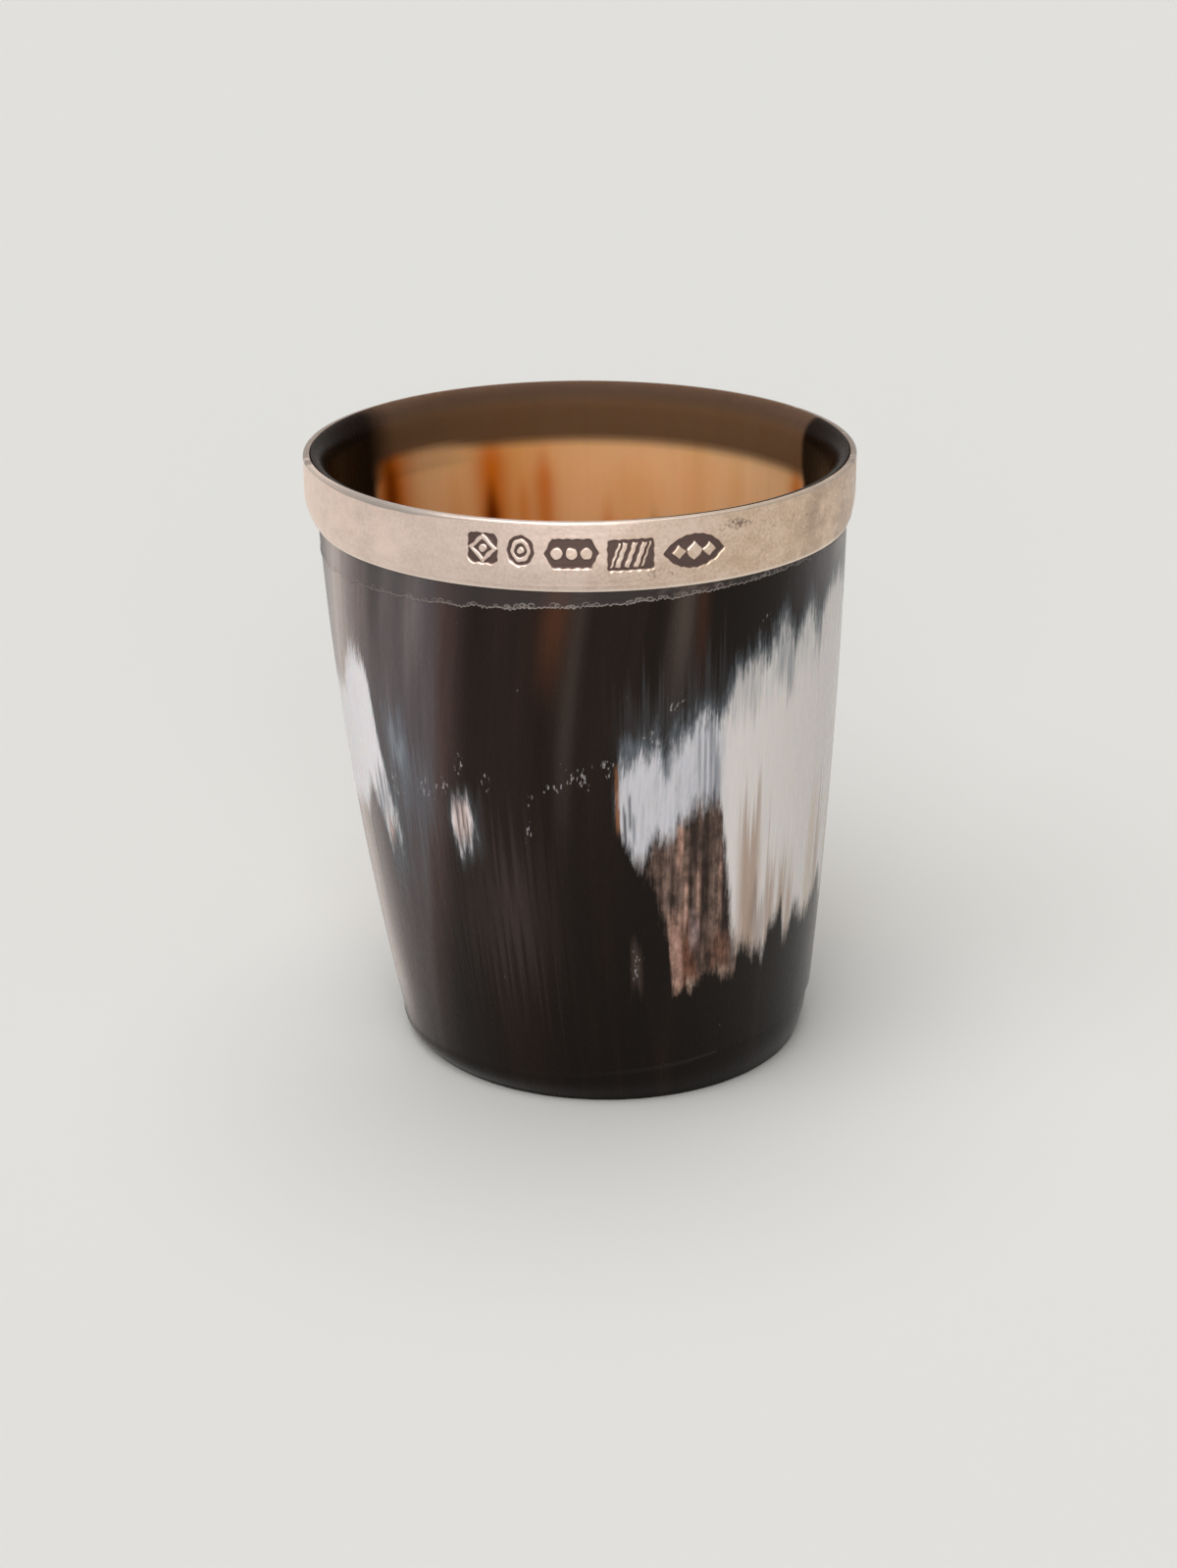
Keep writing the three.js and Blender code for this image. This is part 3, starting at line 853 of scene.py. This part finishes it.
def film_bubbles(angle, z, edge):
    """Ridges that burst bubbles left along the film's edge."""
    draw = np.random.default_rng(14)
    ridge = np.zeros_like(z)
    for _ in range(BUBBLES):
        place, radius = draw.uniform(-180, 180), draw.uniform(*BUBBLE_RADII)
        centre = np.interp(place, angle, edge) + draw.uniform(0.3, 1.3) * radius
        along = np.radians(angle - place)[:, None] * neck_radius
        ring = np.abs(np.hypot(along * 0.8, z - centre) - radius)
        ridge = np.maximum(ridge, np.exp(-(ring / BUBBLE_RIDGE) ** 2) * draw.uniform(0.4, 1))
    return ridge


def make_film():
    angle = np.concatenate([np.arange(-180, -75, 0.5), np.arange(-75, 75, 0.13), np.arange(75, 180, 0.5)])
    top = NECK_HEIGHT - SEAT_GAP
    edge = film_edge(angle)
    rows = 1 - np.linspace(1, 0, FILM_ROWS) ** 1.5
    z = top + (edge - top)[:, None] * rows
    swell = 0.35 + 0.3 * ripple(angle, (30, 120), 8)[:, None] * np.sin(rows * 9) ** 2
    bead = np.exp(-((rows - 0.96) * (top - edge)[:, None] / 0.07) ** 2)
    bead = np.maximum(bead, film_bubbles(angle, z, edge))
    ends = smooth(rows, 1, 0.96) * smooth(rows, 0, 0.02)
    height = FILM_THICKNESS * np.clip(0.25 * swell + 0.75 * bead, 0, 1) * ends
    outside = outer_radius(z) + FILM_LIFT + height
    inside = outer_radius(z) - FILM_SUNK
    radius = np.concatenate([inside, outside[:, ::-1]], 1)
    z = np.concatenate([z, z[:, ::-1]], 1)
    fading = 1 - 0.55 * smooth(np.abs(apart(angle, 10)), 20, 50)[:, None]
    bead = bead * smooth(rows, 1.01, 0.97) * fading
    around = np.broadcast_to(angle[:, None], z.shape)
    attributes = horn_attributes(around, z, np.zeros_like(z))
    attributes["bead"] = np.concatenate([np.zeros_like(bead), bead[:, ::-1]], 1)
    attributes["dulled"] = 0.4 - 0.32 * smooth(around, -50, -63)
    attributes["worn"] = smooth(apart(around, 20), 20, 5) * smooth(apart(around, 20), -9, 0)
    return ring_mesh("cement_film", around, radius, z, attributes)


# Materials

class Value:
    """What a node gives. Values can be added and multiplied."""

    def __init__(self, nodes, socket):
        self.nodes = nodes
        self.socket = socket

    def __add__(self, other):
        return self.nodes.math("ADD", self, other)

    def __mul__(self, other):
        return self.nodes.math("MULTIPLY", self, other)


class Nodes:
    """Short ways to write a material's nodes."""

    def __init__(self, name):
        self.material = bpy.data.materials.new(name)
        self.material.use_nodes = True
        self.tree = self.material.node_tree
        self.tree.nodes.clear()
        self.shader = self.tree.nodes.new("ShaderNodeBsdfPrincipled")
        output = self.tree.nodes.new("ShaderNodeOutputMaterial")
        self.tree.links.new(self.shader.outputs[0], output.inputs["Surface"])

    def plug(self, socket, value):
        if isinstance(value, Value):
            self.tree.links.new(value.socket, socket)
        elif socket.type == "RGBA":
            socket.default_value = (*value, 1)
        else:
            socket.default_value = value

    def set(self, **values):
        """Sets the shader's sockets, named with _ for a space."""
        for key, value in values.items():
            self.plug(self.shader.inputs[key.replace("_", " ")], value)

    def node(self, kind, output, inputs, **settings):
        """Makes a node and gives one of its outputs."""
        made = self.tree.nodes.new(kind)
        for key, value in settings.items():
            setattr(made, key, value)
        for key, value in inputs.items():
            self.plug(made.inputs[key], value)
        return Value(self, made.outputs[output])

    def read(self, name, output="Fac"):
        return self.node("ShaderNodeAttribute", output, {}, attribute_name=name)

    def place(self):
        """The place in the piece's own coordinates, in metres."""
        return self.node("ShaderNodeTexCoord", "Object", {})

    def math(self, operation, a, b=0.0, c=0.0):
        return self.node("ShaderNodeMath", 0, {0: a, 1: b, 2: c}, operation=operation)

    def noise(self, vector, scale, detail, roughness, offset=0.0):
        """Noise of about -1 to 1. scale is a vector: waves for each unit of the coordinates."""
        stretched = self.node("ShaderNodeVectorMath", 0, {0: vector, 1: scale}, operation="MULTIPLY")
        inputs = {"Vector": stretched, "W": offset, "Scale": 1.0, "Detail": detail, "Roughness": roughness}
        noise = self.node("ShaderNodeTexNoise", "Fac", inputs, noise_dimensions="4D")
        return self.math("MULTIPLY_ADD", noise, 4.0, -2.0)

    def step(self, value, low, high, to_low=0.0, to_high=1.0):
        """A smooth step from to_low to to_high."""
        inputs = {0: value, 1: low, 2: high, 3: to_low, 4: to_high}
        return self.node("ShaderNodeMapRange", "Result", inputs, interpolation_type="SMOOTHSTEP")

    def mix(self, share, a, b, blend="MIX"):
        inputs = {"Factor": share, 6: a, 7: b}
        return self.node("ShaderNodeMix", 2, inputs, data_type="RGBA", blend_type=blend)

    def streaked(self, value, reach, colour, dark, light):
        """A colour times dark where value is below -reach and times light where it is above reach."""
        return self.mix(self.step(value, -reach, reach), self.mix(1.0, colour, dark, "MULTIPLY"),
                        self.mix(1.0, colour, light, "MULTIPLY"))

    def bump(self, height, distance):
        return self.node("ShaderNodeBump", "Normal", {"Height": height, "Distance": distance})


FRINGE = (0.088, 0.100, 0.112)
FLECK = (0.38, 0.355, 0.37)
ORANGE_EDGE = (0.27, 0.11, 0.048)
STREAK_DARK = (0.55, 0.52, 0.50)
STREAK_LIGHT = (1.45, 1.48, 1.5)
CRACK = (0.36, 0.34, 0.33)
RIDGE = (1.5, 1.48, 1.46)
HORN_SHEEN = (1.0, 0.86, 0.78)
LIGHT_DEPTH = 1.0  # millimetres
LIGHT_REACH = (1.0, 0.55, 0.28)  # of red, green and blue light, in LIGHT_DEPTH

# Depth of the fine relief, in metres
POLISH_RELIEF = 0.000001
SATIN_RELIEF = 0.00001
FILM_RELIEF = 0.00001
DISC_RELIEF = 0.00002
CEMENT_RELIEF = 0.00003
SEAL_RELIEF = 0.00008


def horn_colour(nodes):
    """The horn's colour from its attributes: streaked tone, brown patch, milky patches and flecks."""
    grain = nodes.read("grain", "Vector")
    inside = nodes.read("inside")
    broad = nodes.noise(grain, (0.55, 0.55, 0.035), 3, 0.5, 7.0)
    middle = nodes.noise(grain, (1.5, 1.5, 0.09), 3, 0.5, 1.0)
    fine = nodes.noise(grain, (4.6, 4.6, 0.30), 3, 0.6)
    hair = nodes.noise(grain, (12, 12, 0.9), 2, 0.5, 3.0)
    blotch = nodes.noise(grain, (0.8, 0.8, 0.25), 3, 0.6, 11.0)

    contrast = (middle * 0.45 + broad * 0.6) * nodes.step(inside, 0, 1, 0.26, 0.03)
    colour = nodes.streaked(contrast, 0.5, nodes.read("tone", "Color"), STREAK_DARK, STREAK_LIGHT)
    umber = nodes.step(broad, 0.1, 1.2) * (nodes.math("SUBTRACT", 1.0, inside) * 0.35)
    colour = nodes.mix(umber, colour, UMBER)

    worn = fine * 0.7 + middle * 0.6 + hair * 0.35
    nibble = nodes.noise(grain, (5.5, 5.5, 1.3), 2, 0.6, 29.0) * 0.45
    brown = nodes.read("brown") + worn * 0.55 + nibble
    cracked = worn * 0.6 + nodes.noise(grain, (1.8, 1.8, 0.8), 3, 0.6, 23.0)
    browned = nodes.streaked(cracked, 1.1, nodes.read("brown_tone", "Color"), CRACK, RIDGE)
    colour = nodes.mix(nodes.step(brown, -0.8, 0.9), colour, browned)

    spread = (worn * 1.3 + blotch * 0.9) * nodes.read("ragged")
    depth = nodes.read("milky") + nibble + spread
    near = nodes.step(depth, -3.8, -0.2)
    colour = nodes.mix(near * near * nodes.read("fringe"), colour, FRINGE)
    milky = nodes.read("milky_tone", "Color")
    thin = nodes.step(worn, 0.4, -1.1) * nodes.step(nodes.read("streaky"), 0, 1, 0.06, 0.6)
    milky = nodes.mix(thin, milky, nodes.mix(0.35, BLUE_GREY, milky))
    colour = nodes.mix(nodes.step(depth, -1.2, 1.8), colour, milky)

    dot = nodes.noise(grain, (3.6, 3.6, 1.5), 2, 0.6, 17.0)
    fleck = dot + middle * 0.3 + nodes.read("flecks")
    colour = nodes.mix(nodes.step(fleck, 1.05, 1.45) * 0.62, colour, FLECK)

    beside = nodes.math("ABSOLUTE", nodes.read("from_edge") + hair * 0.05)
    edge = nodes.step(beside, 0.30, 0.02) * nodes.read("edge_height")
    edge = edge * nodes.step(blotch, -0.8, 0.6, 0.35, 0.9)
    return nodes.mix(edge, colour, ORANGE_EDGE), fine, hair


def horn_material(name, weight, gloss):
    """Horn. weight is the share of light that enters it, and gloss its index of refraction."""
    nodes = Nodes(name)
    colour, fine, _ = horn_colour(nodes)
    relief = fine * nodes.math("SUBTRACT", 1.0, nodes.read("inside"))
    nodes.set(Base_Color=colour, Roughness=nodes.step(fine, -1.5, 1.5, 0.22, 0.31), IOR=gloss,
              Specular_Tint=HORN_SHEEN, Normal=nodes.bump(relief, POLISH_RELIEF), Subsurface_Weight=weight,
              Subsurface_Scale=LIGHT_DEPTH * MM, Subsurface_Radius=LIGHT_REACH)
    return nodes.material


CEMENT_DULL = (0.040, 0.029, 0.028)
CEMENT_WORN = (0.17, 0.125, 0.105)
CEMENT_BEAD = (0.34, 0.29, 0.265)
CEMENT_DARK = (0.018, 0.014, 0.012)
CEMENT_LIGHT = (0.06, 0.05, 0.045)


def film_material():
    nodes = Nodes("cement_film")
    colour, _, hair = horn_colour(nodes)
    place = nodes.place()
    grit = nodes.noise(place, (1500, 1500, 1900), 3, 0.65)
    chip = nodes.noise(place, (700, 700, 1600), 2, 0.5, 6.0)
    worn = nodes.read("worn")
    dull = nodes.mix(nodes.read("dulled"), colour, CEMENT_DULL)
    dull = nodes.mix(nodes.step(grit, -0.4, 1.2) * worn * 0.8, dull, CEMENT_WORN)
    dull = nodes.mix(nodes.step(chip, 0.5, 0.7) * worn, dull, BLACK)
    bead = nodes.read("bead") * nodes.step(hair, -1.4, 0.3)
    nodes.set(Base_Color=nodes.mix(bead * 0.85, dull, CEMENT_BEAD), Roughness=0.42, IOR=1.4,
              Normal=nodes.bump(grit, FILM_RELIEF))
    return nodes.material


# Silver colours; the warm, bright and dim ones and the tarnish also paint light and shade across the band
SILVER = (0.78, 0.625, 0.555)
SILVER_WARM_SHADE = (0.67, 0.495, 0.36)
SILVER_PAINTED_HIGHLIGHT = (0.92, 0.73, 0.63)
SILVER_PAINTED_SHADE = (0.50, 0.365, 0.275)
TARNISH_AND_SHADE = (0.45, 0.335, 0.265)
STAIN = (0.20, 0.14, 0.11)
OXIDE = (0.125, 0.084, 0.076)
CHAMFER_TARNISH_AND_REFLECTION = (0.36, 0.325, 0.305)
RUBBED = (0.93, 0.77, 0.68)
LOW_RIM_HIGHLIGHT = (0.98, 0.86, 0.74)
SPARKLE = (1.0, 0.97, 0.92)


def silver_material():
    nodes = Nodes("satin_silver")
    place = nodes.place()
    cloud = nodes.noise(place, (230, 230, 330), 4, 0.6)
    mottle = nodes.noise(place, (620, 620, 900), 3, 0.55, 2.0)
    speck = nodes.noise(place, (3600, 3600, 3600), 2, 0.5, 5.0)
    scratch = nodes.noise(place, (260, 260, 6000), 2, 0.5, 8.0)
    # Painted light and shade: the silver is brighter towards the left, where the key light falls, and
    # darker and warmer towards the right, where the tarnish is also painted stronger as shade
    side = nodes.read("side") + cloud * 0.25
    colour = nodes.mix(nodes.step(side, -0.3, 0.75), SILVER, SILVER_WARM_SHADE)
    colour = nodes.mix(nodes.step(side, -0.5, -0.95), colour, SILVER_PAINTED_HIGHLIGHT)
    colour = nodes.mix(nodes.step(side, 0.8, 1.05), colour, SILVER_PAINTED_SHADE)
    grain = (mottle + cloud * 0.8) * 0.6 + speck * 0.8
    tarnish_and_shade = nodes.step(grain, -0.5, 1.3) * nodes.step(side, -0.9, 0.9, 0.2, 0.5)
    colour = nodes.mix(tarnish_and_shade, colour, TARNISH_AND_SHADE)
    colour = nodes.mix(nodes.step(grain, 0.4, -1.3, 0.0, 0.4), colour, RUBBED)
    stain = mottle + speck * 0.6 + nodes.read("stained") * 1.5
    colour = nodes.mix(nodes.step(stain, 1.15, 1.9, 0.0, 0.8), colour, STAIN)
    freckle = nodes.noise(place, (2600, 2600, 3200), 2, 0.5, 9.0) + cloud * 0.5
    colour = nodes.mix(nodes.step(freckle, 1.0, 1.6, 0.0, 0.55), colour, STAIN)
    # The rounded top edge is painted grey, partly tarnish and partly a painted darker reflection, with
    # painted glints sparkling on it
    chamfer = nodes.read("chamfer")
    colour = nodes.mix(chamfer * 0.85, colour, CHAMFER_TARNISH_AND_REFLECTION)
    sparkle = nodes.step(mottle, 0.8, 1.1) * nodes.step(chamfer, 0.3, 0.9)
    colour = nodes.mix(sparkle, colour, SPARKLE)
    # Painted highlight: a warm bright line along the band's curled lower edge
    colour = nodes.mix(nodes.read("low_rim_highlight") * 0.6, colour, LOW_RIM_HIGHLIGHT)
    oxide = nodes.read("oxide")
    colour = nodes.mix(nodes.step(oxide + mottle * 0.26, 0.2, 0.9), colour, OXIDE)
    nodes.set(Base_Color=colour, Metallic=1.0, Normal=nodes.bump(mottle + scratch * 0.25, SATIN_RELIEF),
              Roughness=nodes.step(mottle, -1.5, 1.5, 0.30, 0.46) + oxide * 0.2)
    return nodes.material


DISC_DARK = (0.030, 0.017, 0.010)
DISC_BROWN = (0.135, 0.075, 0.036)
DISC_SPOT = (0.25, 0.15, 0.08)
SEAL_DARK = (0.10, 0.055, 0.022)
SEAL_LIGHT = (0.20, 0.12, 0.055)


def disc_material():
    nodes = Nodes("base_horn")
    place = nodes.place()
    wave = nodes.noise(place, (90, 700, 90), 4, 0.6)
    spot = nodes.noise(place, (900, 1800, 900), 3, 0.5, 4.0)
    colour = nodes.mix(nodes.step(wave, -1, 1), DISC_DARK, DISC_BROWN)
    colour = nodes.mix(nodes.step(spot, 0, 1.4) * 0.4, colour, DISC_SPOT)
    nodes.set(Base_Color=colour, Roughness=nodes.step(spot, -1.5, 1.5, 0.26, 0.4), IOR=1.4,
              Normal=nodes.bump(wave, DISC_RELIEF))
    return nodes.material


def cement_material():
    nodes = Nodes("dull_cement")
    grit = nodes.noise(nodes.place(), (2500, 2500, 2500), 3, 0.6)
    colour = nodes.mix(nodes.step(grit, -1, 1), CEMENT_DARK, CEMENT_LIGHT)
    nodes.set(Base_Color=colour, Roughness=0.7, Normal=nodes.bump(grit, CEMENT_RELIEF))
    return nodes.material


def seal_material():
    nodes = Nodes("amber_seal")
    ooze = nodes.noise(nodes.place(), (500, 500, 900), 3, 0.6)
    colour = nodes.mix(nodes.step(ooze, -1, 1), SEAL_DARK, SEAL_LIGHT)
    nodes.set(Base_Color=colour, Roughness=nodes.step(ooze, -1, 1, 0.2, 0.35), IOR=1.45,
              Normal=nodes.bump(ooze, SEAL_RELIEF))
    return nodes.material


# Pieces

def dress(piece, material, *nodes):
    """Gives a new piece its material and lets it stand for CAD nodes."""
    piece.data.materials.append(material)
    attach(piece, "root")
    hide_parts(*nodes)
    return piece


horn_cup = dress(make_horn_wall(), horn_material("polished_horn", 0.35, 1.28), "horn_wall")
horn_cup.data.materials.append(horn_material("clear_horn", 1.0, 1.33))
horn_cup.data.materials.append(horn_material("inner_horn", 1.0, 1.08))
dress(make_band(), silver_material(), "silver_band")
dress(make_film(), film_material(), "cement_line")


def coat(node, material):
    """Gives a material to a CAD node that stays in the scene."""
    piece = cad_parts[node]
    piece.data.materials.clear()
    piece.data.materials.append(material)


coat("base_disc", disc_material())
coat("cement_bed", cement_material())
coat("base_seal", seal_material())


# Stage, light and camera

BACKGROUND = (0.752, 0.745, 0.716)
LAMP_COLOUR = (1.0, 0.992, 0.972)
FLOOR_SIZE = 9.0
FLOOR_ALBEDO = (0.757, 0.757, 0.747)
AMBIENT = 0.25  # strength of the world's light, which is 1 where the camera or a reflection sees it


def make_floor():
    half = FLOOR_SIZE / 2
    mesh = bpy.data.meshes.new("floor")
    corners = [(-half, -half, 0), (half, -half, 0), (half, half, 0), (-half, half, 0)]
    mesh.from_pydata(corners, [], [(0, 1, 2, 3)])
    nodes = Nodes("floor")
    nodes.set(Base_Color=FLOOR_ALBEDO, Roughness=0.9, Specular_IOR_Level=0.0)
    mesh.materials.append(nodes.material)
    floor = add_object("floor", mesh)


def make_world():
    world = bpy.data.worlds.new("studio")
    bpy.context.scene.world = world
    world.use_nodes = True
    tree = world.node_tree
    light = tree.nodes["Background"]
    light.inputs["Color"].default_value = (*BACKGROUND, 1)
    rays = tree.nodes.new("ShaderNodeLightPath").outputs
    shown = rays["Is Camera Ray"]
    for kind in ("Is Glossy Ray", "Is Transmission Ray"):
        either = tree.nodes.new("ShaderNodeMath")
        either.operation = "MAXIMUM"
        tree.links.new(shown, either.inputs[0])
        tree.links.new(rays[kind], either.inputs[1])
        shown = either.outputs[0]
    strength = tree.nodes.new("ShaderNodeMapRange")
    strength.inputs["To Min"].default_value = AMBIENT
    tree.links.new(shown, strength.inputs["Value"])
    tree.links.new(strength.outputs["Result"], light.inputs["Strength"])


def make_sun(name, azimuth, elevation, strength, spread):
    """A far soft light. azimuth is 0 in front of the cup and 90 at +X."""
    a, e = math.radians(azimuth), math.radians(elevation)
    towards = Vector((math.sin(a) * math.cos(e), -math.cos(a) * math.cos(e), math.sin(e)))
    data = bpy.data.lights.new(name, "SUN")
    data.energy = strength
    data.angle = math.radians(spread)
    data.color = LAMP_COLOUR
    lamp = add_object(name, data)
    lamp.rotation_mode = "QUATERNION"
    lamp.rotation_quaternion = towards.to_track_quat("Z", "Y")
    lamp.location = towards


# The camera, fitted to the photograph's rim, band, foot and outline
CAMERA_AIM = (0.62, 0.0, 23.99)
CAMERA_DISTANCE = 278.4
CAMERA_ELEVATION = 21.507
CAMERA_ROLL = -0.3
FOCAL_PIXELS = 3000
IMAGE_HEIGHT = 1599
SENSOR = 36.0


def make_camera():
    e, roll = math.radians(CAMERA_ELEVATION), math.radians(CAMERA_ROLL)
    back = Vector((0, -math.cos(e), math.sin(e)))
    level, rise = Vector((1, 0, 0)), Vector((0, math.sin(e), math.cos(e)))
    right = math.cos(roll) * level + math.sin(roll) * rise
    up = math.cos(roll) * rise - math.sin(roll) * level
    place = (Vector(CAMERA_AIM) + CAMERA_DISTANCE * back) * MM
    data = bpy.data.cameras.new("camera")
    data.sensor_width = SENSOR
    data.lens = FOCAL_PIXELS * SENSOR / IMAGE_HEIGHT
    data.clip_start = 0.01
    data.clip_end = 50
    camera = add_object("camera", data)
    turn = Matrix((right, up, back)).transposed().to_4x4()
    camera.matrix_world = Matrix.Translation(place) @ turn
    bpy.context.scene.camera = camera


make_floor()
make_world()
make_sun("key", -35, 60, 1.30, 50)
make_sun("overhead", 180, 78, 0.99, 45)
make_sun("fill", 0, 20, 1.28, 40)
make_camera()
bpy.context.scene.view_settings.view_transform = "Standard"
